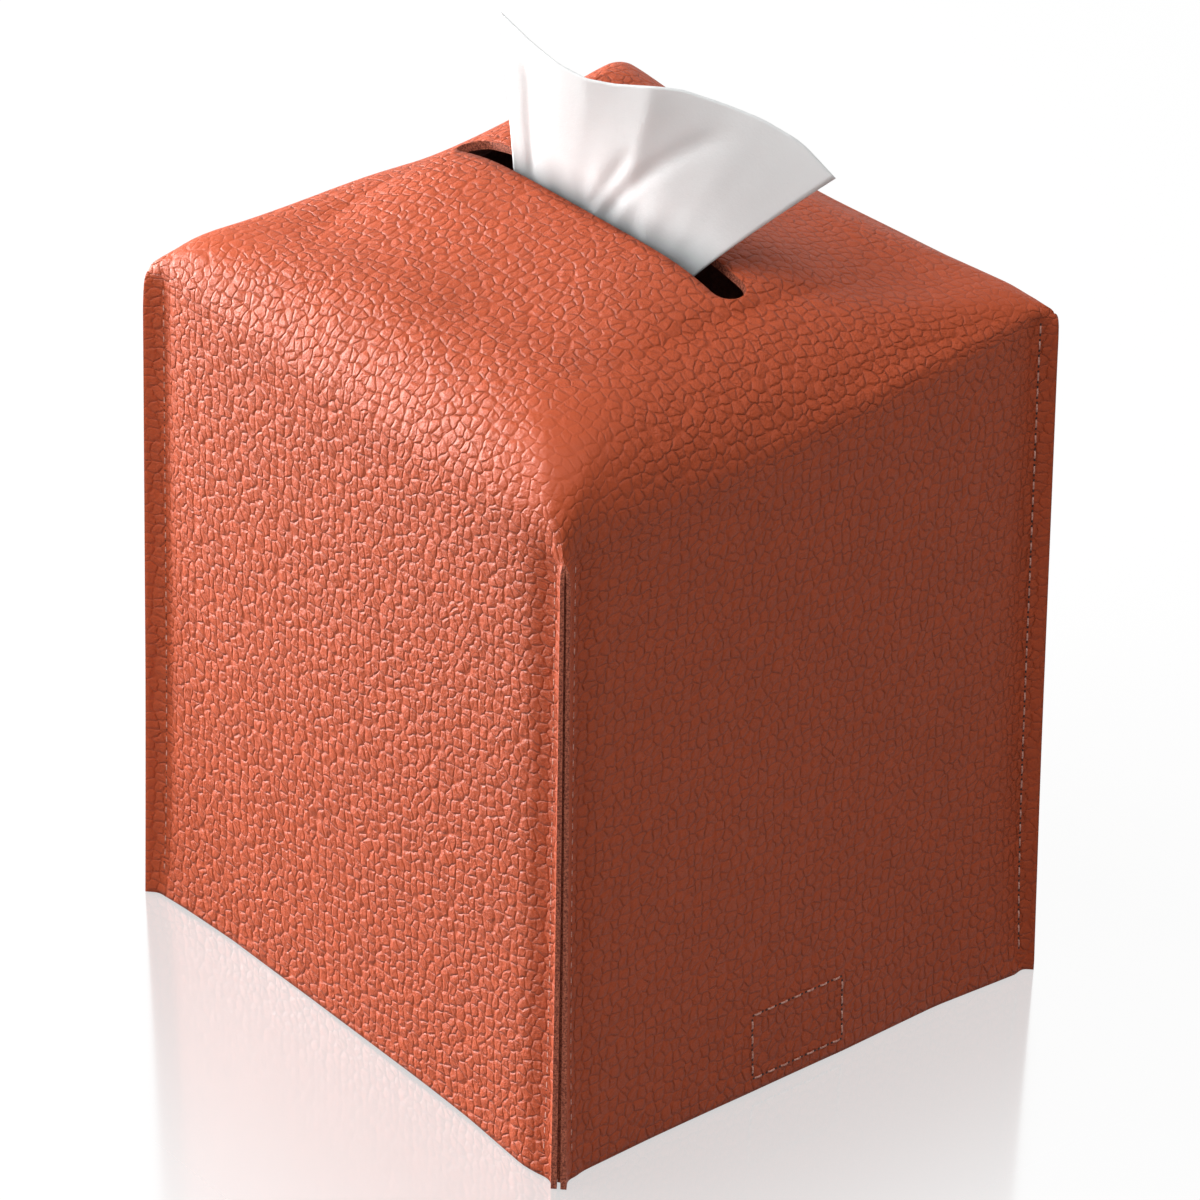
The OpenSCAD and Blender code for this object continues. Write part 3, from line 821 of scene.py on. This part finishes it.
def sewBox(size, place, acrossAxis, upAxis, normal, look, seat=None):
    # a rectangle of stitches, one row a side; seat moves its lines onto the surface they are sewn through
    rows = []
    place, acrossAxis, upAxis = (np.asarray(v, float) for v in (place, acrossAxis, upAxis))
    corners = np.array([(-1, -1), (1, -1), (1, 1), (-1, 1), (-1, -1)])
    for start, end in zip(corners[:-1], corners[1:]):
        t = np.linspace(0, 1, 12)[:, None]
        u, v = ((start[k] + (end[k] - start[k]) * t) * size[k] / 2 for k in range(2))
        line = place + u * acrossAxis + v * upAxis
        line = line if seat is None else seat(line)
        rows.append(sewRow(line, np.tile(np.asarray(normal, float), (len(line), 1)), look))
    return rows


def ontoWall(block, line):
    # each point of the line goes out to the skin: first between the rows of every column at its height,
    # then between the columns
    wall = skin.points[skin.ids[block, :skin.cut:-1, 12:-12]]
    out, along = wall[..., :2] @ outOfSide[block], wall[..., :2] @ alongSide[block]
    placed = line.copy()
    for k, point in enumerate(line):
        profile = [
            [np.interp(point[2], wall[:, column, 2], values[:, column]) for column in range(wall.shape[1])]
            for values in (along, out)
        ]
        far = np.interp(point[:2] @ alongSide[block], *profile)
        placed[k, :2] += (far - point[:2] @ outOfSide[block]) * outOfSide[block]
    return placed


# Straps: each is one band, sewn flat inside its wall, turned under the hem and laid along the underside
strap = {
    "width": 27.0,
    "thickness": 1.5,
    "tipRadius": 6.0,
    "foldX": 61.4,
    "height": 1.25,
    "tabTop": 19.8,
    "bendRadius": 0.5,
    "stepStart": 4.0,
    "stepEnd": 18.0,
    "edgeRound": 0.16,
    "blendHeight": 3.2,
    "blendReach": 3.0,
    "tapeSize": (27.0, 23.0),
    "tapeInset": 2.0,
    "tapeMargin": 3.0,  # from edge to edge of the stitches round a tape, less than the tape
    "boxSize": (23.3, 14.5),
    "boxBottom": 3.1,
}
bands = {
    "right_strap": {
        "name": "strapRight",
        "nodes": ("long_strap", "right_tab"),
        "sideSign": 1,
        "wall": 1,
        "length": 96.0,
        "rise": 0.0,
        "tabX": 63.5,
    },
    "left_strap": {
        "name": "strapLeft",
        "nodes": ("short_strap", "left_tab"),
        "sideSign": -1,
        "wall": 3,
        "length": 57.8,
        "rise": 4.1,
        "tabX": 62.7,
    },
}
bandLeather = pebbledLeather("bandLeather", {**leatherLook, "depth": 0.18})


def strapPath(c, band):
    # centre line in the strap's own plane: down the tab, an arc under the hem, then level with a soft step
    length, back = band["length"], c.foldX - band["tabX"]
    radius = c.bendRadius - back
    down = np.column_stack([np.full(10, back), np.linspace(c.tabTop - c.height, radius + 0.05, 10)])
    turn = np.linspace(0, math.pi / 2, 8)
    arc = np.column_stack([c.bendRadius - radius * np.cos(turn), radius - radius * np.sin(turn)])
    tip = length - c.tipRadius * (1 - np.sin(np.linspace(0.08, math.pi / 2, 10)))
    run = np.concatenate([np.linspace(1.2, 20, 24), np.linspace(21.5, length - 6.5, 26), tip])
    step = smoothStep((run - c.stepStart) / (c.stepEnd - c.stepStart))
    return np.concatenate([down, arc, np.column_stack([run, band["rise"] * step])])


def strapBand(c, band, materials):
    # outer skin = centre line + half the thickness towards the table, from edge to edge; the edges round
    # over by a hair, and the tip is round in plan
    path, sideSign = strapPath(c, band), band["sideSign"]
    step = unit(np.gradient(path, axis=0))
    out = np.column_stack([step[:, 1], -step[:, 0]])
    across = np.sin(np.linspace(-1, 1, 25) * math.pi / 2)
    fromTip, radius = band["length"] - path[:, 0], c.tipRadius
    narrower = radius - np.sqrt(np.maximum(radius ** 2 - (radius - fromTip) ** 2, 0))
    y = (c.width / 2 - np.where(fromTip < radius, narrower, 0))[:, None] * across[None, :]
    edge = c.edgeRound * np.clip((np.abs(across) - 0.96) / 0.04, 0, 1) ** 2
    lift = c.thickness / 2 - edge[None, :] + 0 * y
    flat = path[:, None] + out[:, None] * lift[..., None]
    x, z = sideSign * (c.foldX - flat[..., 0]), c.height + flat[..., 1]
    points = np.stack([x, -sideSign * y, z], -1)
    ids = np.arange(y.size).reshape(y.shape)
    laid = np.stack([lengthAlong(path)[:, None] + 0 * y, y], -1).reshape(-1, 2)
    faces = thicken(points.reshape(-1, 3), gridQuads(ids)[:, ::-1], 0, c.thickness)
    return addPiece(band["name"], *faces[:2], materials, faces[2], (2,), np.tile(laid, (2, 1)))


for body, band in bands.items():
    piece = strapBand(SimpleNamespace(**strap), band, [bandLeather, bandLeather, rawEdge])
    sideSign = band["sideSign"]
    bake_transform(piece)
    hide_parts(*band["nodes"])
print("straps laid")

# Boxes of stitches: through the wall and the tab, and round each tape, on the strap's other face
for body, band in bands.items():
    sideSign, where = band["sideSign"], body.removesuffix("_strap")
    middle = strap["boxBottom"] + strap["boxSize"][1] / 2
    outside = sewBox(
        strap["boxSize"], (sideSign * cover["halfWidth"], 0, middle), (0, sideSign, 0), (0, 0, 1),
        (sideSign, 0, 0), stitch, lambda line: ontoWall(band["wall"], line),
    )
    innerFace = (sideSign * (band["tabX"] - strap["thickness"] / 2), 0, middle)
    inside = sewBox(strap["boxSize"], innerFace, (0, -sideSign, 0), (0, 0, 1), (-sideSign, 0, 0), stitch)
    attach(stitchPiece("tabThread_" + where, outside + inside, stitch, where + "_tab_stitches"), "cover")

# Touch tapes: hooks stand up from the right strap, and loops hang down from the left one. A wire is tall
# high, bends over by curl and makes turn half circles.
tapes = {
    "right_strap": {"kind": "hook", "up": 1, "tall": 0.55, "curl": 0.38, "turn": 0.8},
    "left_strap": {"kind": "loop", "up": -1, "tall": 0.5, "curl": 0.28, "turn": 1.0},
}


def tapePlace(body, above):
    # middle of a tape's place on the upper or the lower face of its strap
    band = bands[body]
    middle = band["length"] - strap["tapeInset"] - strap["tapeSize"][0] / 2
    face = strap["height"] + band["rise"] + above * strap["thickness"] / 2
    return band["sideSign"] * (strap["foldX"] - middle), 0, face


for body, form in tapes.items():
    kind, up = form["kind"], form["up"]
    size = [length - strap["tapeMargin"] for length in strap["tapeSize"]]
    box = sewBox(size, tapePlace(body, -up), (1, 0, 0), (0, -up, 0), (0, 0, -up), stitch)
    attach(stitchPiece("tapeThread_" + kind, box, stitch, kind + "_tape_stitches"), body)
print("boxes sewn")

# Each tape is a woven ground with rows of small hooks or loops
tape = {"pitch": 1.25, "ground": 0.55, "wire": 0.16, "bare": 3.4}
hookFinish = plainFinish("hookFinish", spun, (0.20, 0.07, 0.04, 1), (0.12, 0.04, 0.02, 1), 0.08)
loopFinish = plainFinish("loopFinish", spun, (0.30, 0.11, 0.07, 1), (0.18, 0.06, 0.035, 1), 0.08)


def tapeGround(look, size):
    # a pad whose edge rounds down, with a fine weave sin 5u sin 5v; its underside is level
    even = (np.sin(np.linspace(-1, 1, count) * math.pi / 2) for count in (29, 25))
    u, v = np.meshgrid(*(at * length / 2 for at, length in zip(even, size)), indexing="ij")
    edge = np.minimum(size[0] / 2 - np.abs(u), size[1] / 2 - np.abs(v))
    top = look["ground"] - 0.18 * (1 - smoothStep(edge / 0.5)) + 0.03 * np.sin(u * 5) * np.sin(v * 5)
    skins = [np.stack([u, v, height], -1).reshape(-1, 3) for height in (top, np.full_like(top, 0.01))]
    return np.concatenate(skins), gridQuads(np.arange(u.size).reshape(u.shape))


def tapeWires(look, size, form):
    # wires at even steps on the curve (curl (1 - cos t), tall sin t), row by row to one side or the other
    stands = []
    for length in size:
        count = int((length - look["bare"]) // look["pitch"])
        stands.append((np.arange(count) - (count - 1) / 2) * look["pitch"])
    u, v = (grid.ravel()[:, None] for grid in np.meshgrid(*stands, indexing="ij"))
    lean = np.where((np.round(v / look["pitch"]).astype(int) % 2) == 0, 1.0, -1.0)
    t = np.linspace(0, math.pi * form["turn"], 5)[None, :]
    x = u + lean * form["curl"] * (1 - np.cos(t))
    z = look["ground"] - 0.12 + form["tall"] * np.sin(t) + 0 * x
    direction = unit(np.stack([lean * form["curl"] * np.sin(t), form["tall"] * np.cos(t) + 0 * x], -1))
    spin = np.arange(4) * math.pi / 2 + math.pi / 4
    aside = np.cos(spin) * look["wire"]
    ringX = x[..., None] - direction[..., 1][..., None] * aside
    ringY = v[..., None] + np.sin(spin) * look["wire"] + 0 * ringX
    return np.stack([ringX, ringY, z[..., None] + direction[..., 0][..., None] * aside], -1)


def tapePiece(name, look, form, centre, size, material):
    # ground and wires, stood up or hung down from the strap's face
    ground, quads = tapeGround(look, size)
    if form["up"] < 0:
        quads = quads[:, ::-1]
    pad = closedSkin(quads, len(ground) // 2)[0]
    wires = tapeWires(look, size, form)
    sides, ends = tubeFaces(np.arange(wires[..., 0].size).reshape(wires.shape[:3]) + len(ground))
    if form["up"] > 0:
        sides, ends = sides[:, ::-1], ends[:, ::-1]
    points = np.concatenate([ground, wires.reshape(-1, 3)]) * (1, 1, form["up"]) + centre
    return addPiece(name, points, pad.tolist() + sides.tolist() + ends.tolist(), [material])


for (body, form), finish in zip(tapes.items(), (hookFinish, loopFinish)):
    kind, place = form["kind"], tapePlace(body, form["up"])
    piece = tapePiece(kind + "Tape", tape, form, place, strap["tapeSize"], finish)
    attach(piece, body)
    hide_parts(kind + "_tape")
print("tapes set")

# Tissue: a sheet drawn up through the slot, gathered where it passes the lip
tissue = {
    # share of the way along the free top edge, and its place there
    "topEdge": [
        (0.0, -27.6, -3.0, 196.0), (0.13, -17.5, -3.0, 193.4), (0.25, -9.2, -3.0, 192.0),
        (0.36, -1.3, -2.5, 191.6), (0.46, 5.2, -1.0, 192.4), (0.60, 14.6, 1.0, 194.7),
        (0.67, 18.9, 4.0, 194.8), (0.79, 27.1, 9.0, 193.1), (0.86, 33.0, 12.0, 191.8),
        (0.94, 40.0, 16.0, 188.6), (1.0, 46.7, 19.0, 182.8),
    ],
    "lipLeft": -22.6,
    "lipRight": 29.6,
    "lipY": -2.6,
    "lipHeight": 160.5,
    "rise": 34.0,
    "span": 60.0,
    "tail": 26.0,
    "tailMiddle": 3.5,
    "tailNarrowing": 0.25,
    "gather": 0.36,
    "drape": 0.3,
    # soft valleys in the sheet: from (u, v) to (u, v), half width and depth; a depth below zero is a ridge
    "creases": [
        (0.10, 0.80, 0.10, 0.12, 1.5, 1.0), (0.56, 0.55, 0.42, 0.10, 1.9, 0.9),
        (0.80, 0.82, 0.50, 0.12, 2.0, 1.3), (0.88, 0.7, 0.66, 0.14, 5.5, -0.6),
        (0.24, 0.9, 0.28, 0.2, 5.5, -0.5),
    ],
    "creaseDepth": 0.42,
    "thickness": 0.32,
    "flatSize": (0.083, 0.063),
}
tissueLook = {
    "colour": (0.79, 0.82, 0.825, 1),
    # painted shade: the grey the sheet's colour takes along the lip
    "paintedLipShade": (0.19, 0.20, 0.205, 1),
    "paintedLipShadeFrom": (28.2, 38.5),  # painted shade at the lip: grey up to here and white from there, measured up the sheet
    "waves": (0.12, 2.0),  # scale and detail of the clouds, and for the fibres their roughness too
    "fibres": (1.5, 6.0, 0.7),
    "waveShare": 2.5,
    "depth": 0.12,
    "relief": 0.5,
    "shader": {
        "Roughness": 0.9,
        "Specular IOR Level": 0.2,
        "Subsurface Weight": 0.6,  # a little light comes through
        "Subsurface Radius": (1, 1, 1),
        "Subsurface Scale": 0.002,
    },
}


def tissueCrease(c, u, v, crease):
    # depth e^-(off / width)^2 beside the line from (u0, v0) to (u1, v1), fading at both of its ends
    u0, v0, u1, v1, width, depth = crease
    run = np.array([(u1 - u0) * c.span, (v1 - v0) * c.rise])
    length = np.linalg.norm(run)
    run = run / length
    du, dv = (u - u0) * c.span, (v - v0) * c.rise
    ahead, off = du * run[0] + dv * run[1], du * run[1] - dv * run[0]
    ends = smoothStep((ahead + 4) / 8) * smoothStep((length + 4 - ahead) / 8)
    return depth * np.exp(-((off / width) ** 2)) * ends


def tissueTop(c, u):
    # the free edge through its given places, rounded by a running mean that is heaviest in its middle
    table, fine = np.array(c.topEdge), np.linspace(0, 1, 400)
    weights = np.hanning(29) / np.hanning(29).sum()
    for column in (1, 2, 3):
        places = np.interp(fine, table[:, 0], table[:, column])
        longer = np.pad(places, len(weights) // 2, mode="reflect", reflect_type="odd")
        yield np.interp(u, fine, np.convolve(longer, weights, "valid"))


def tissueSheet(c):
    # between the gathered line in the slot and the free top edge: place = line + (edge - line) v, leaning
    # back as v^1.3, with pleats that die out as the sheet opens; below the line the tail hangs straight
    u = np.linspace(0, 1, 131)[None, :]
    v = np.concatenate([np.linspace(-c.tail / c.rise, 0, 26)[:-1], np.linspace(0, 1, 66)])[:, None]
    topX, topY, topZ = tissueTop(c, u)
    up, below = np.clip(v, 0, 1), np.minimum(v, 0)
    lipX = c.lipLeft + (c.lipRight - c.lipLeft) * u
    x = lipX + (topX - lipX) * up ** 1.05
    y = c.lipY + (topY - c.lipY) * up ** 1.3
    z = c.lipHeight + (topZ - c.lipHeight) * up + below * c.rise
    narrowed = c.tailMiddle + (x - c.tailMiddle) * (1 + c.tailNarrowing * below)
    x = np.where(v < 0, narrowed, x)
    gather = np.exp(-((np.maximum(v, 0) / 0.34) ** 1.6)) * (0.9 - 0.3 * below)
    pleats = np.sin(2 * math.pi * (3.4 * u + 0.12)) + 0.45 * np.sin(2 * math.pi * (7.3 * u + 0.4))
    drape = (1 - gather) * np.sin(2 * math.pi * (1.15 * u + 0.3 * up + 0.1)) * up
    y = y + c.gather * gather * pleats * np.sin(math.pi * u) ** 0.5 + c.drape * drape
    y = y + c.creaseDepth * sum(tissueCrease(c, u, v, crease) for crease in c.creases)
    points = np.stack([x + 0 * y, y, z + 0 * y], -1)
    ids = np.arange(y.size).reshape(y.shape)[::-1]
    across, along = (np.linalg.norm(np.diff(points, axis=axis), axis=-1) for axis in (1, 0))
    acrossMap = np.pad(np.cumsum(across, 1), ((0, 0), (1, 0)))
    alongMap = np.pad(np.cumsum(along, 0), ((1, 0), (0, 0)))
    return points.reshape(-1, 3), gridQuads(ids), np.stack([acrossMap, alongMap], -1).reshape(-1, 2)


tissuePoints, tissueQuads, tissueMap = tissueSheet(SimpleNamespace(**tissue))
faces = thicken(tissuePoints, tissueQuads, 0, tissue["thickness"])
paper = tissuePaper("tissuePaper", tissueLook)
sheet = addPiece("tissueSheet", *faces[:2], [paper], faces[2], (2,), np.tile(tissueMap, (2, 1)))
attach(sheet, "tissue")
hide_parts("tissue_sheet")

# Stage: a glossy pale floor, a pale surround and soft lamps
stageLook = {
    "floorHalf": 6.0,
    "floorDrop": 0.0002,
    "floorSeen": (0.93, 0.93, 0.93, 1),
    "floorUnseen": (0.34, 0.33, 0.32, 1),
    "floorGlow": 0.92,
    "mirror": 0.34,
    "mirrorReach": 0.11,
    "mirrorRoughness": 0.10,
    "boxHalf": (0.066, 0.062),  # the mirror is strongest at this rectangle
    "fill": 0.25,
    "lampAim": 0.08,
}
white = (1, 1, 1, 1)


def seenRays(tree):
    # 1 for what the eye sees, straight, mirrored or through something, and 0 for light on its way; and 1
    # for the straight view alone
    rays = addNode(tree, "LightPath", {})
    seen = maths(tree, "MAXIMUM", rays["Is Camera Ray"], rays["Is Glossy Ray"])
    return maths(tree, "MAXIMUM", seen, rays["Is Transmission Ray"]), rays["Is Camera Ray"]


def floorMaterial(look):
    # white with a share of blurred mirror that dies away from the box; the eye sees part of its white as
    # light, and the rest keeps the shadow
    made = bpy.data.materials.new("paleFloor")
    made.use_nodes = True
    tree = made.node_tree
    tree.nodes.clear()
    seen, straight = seenRays(tree)
    colour = mixColour(tree, seen, look["floorUnseen"], look["floorSeen"])
    matt = addNode(tree, "BsdfDiffuse", {"Color": colour})[0]
    glow = addNode(tree, "Emission", {"Color": white, "Strength": 1.0})[0]
    glowShare = maths(tree, "MULTIPLY", seen, look["floorGlow"])
    base = addNode(tree, "MixShader", {0: glowShare, 1: matt, 2: glow})[0]
    inputs = {"Color": white, "Roughness": look["mirrorRoughness"]}
    mirror = addNode(tree, "BsdfGlossy", inputs)[0]
    here = addNode(tree, "TexCoord", {})["Object"]
    place = addNode(tree, "SeparateXYZ", {0: here})
    gaps = [
        maths(tree, "SUBTRACT", maths(tree, "ABSOLUTE", place[axis]), half)
        for axis, half in enumerate(look["boxHalf"])
    ]
    nearBox = remap(tree, maths(tree, "MAXIMUM", *gaps), 0.0, look["mirrorReach"], look["mirror"], 0.0)
    share = maths(tree, "MULTIPLY", nearBox, straight)
    both = addNode(tree, "MixShader", {0: share, 1: base, 2: mirror})[0]
    addNode(tree, "OutputMaterial", {0: both})
    return made


half = stageLook["floorHalf"]
floorMesh = bpy.data.meshes.new("floor")
floorCorners = [(-half, -half, 0), (half, -half, 0), (half, half, 0), (-half, half, 0)]
floorMesh.from_pydata(floorCorners, [], [(0, 1, 2, 3)])
floorMesh.materials.append(floorMaterial(stageLook))
floor = bpy.data.objects.new("floor", floorMesh)
bpy.context.scene.collection.objects.link(floor)
floor.location.z = -stageLook["floorDrop"]

surround = bpy.data.worlds.new("paleSurround")
surround.use_nodes = True
tree = surround.node_tree
tree.nodes.clear()
strength = remap(tree, seenRays(tree)[0], 0.0, 1.0, stageLook["fill"], 1.0)
background = addNode(tree, "Background", {"Color": white, "Strength": strength})[0]
addNode(tree, "OutputWorld", {0: background})
bpy.context.scene.world = surround


def addLamp(name, azimuth, elevation, distance, size, watts):
    # a square soft box on a sphere round the part, facing its middle
    side, up, back = sightAxes(azimuth, elevation)
    lamp = bpy.data.lights.new(name, "AREA")
    lamp.shape, lamp.size, lamp.energy = "SQUARE", size, watts
    place = (0, 0, stageLook["lampAim"]) + back * distance
    standAt(bpy.data.objects.new(name, lamp), side, up, back, place)


addLamp("keyLamp", -28, 42, 1.5, 1.0, 15)
addLamp("sideLamp", -70, 6, 0.95, 0.4, 18.5)
addLamp("topLamp", 70, 74, 1.5, 1.0, 8.5)
print("stage lit")
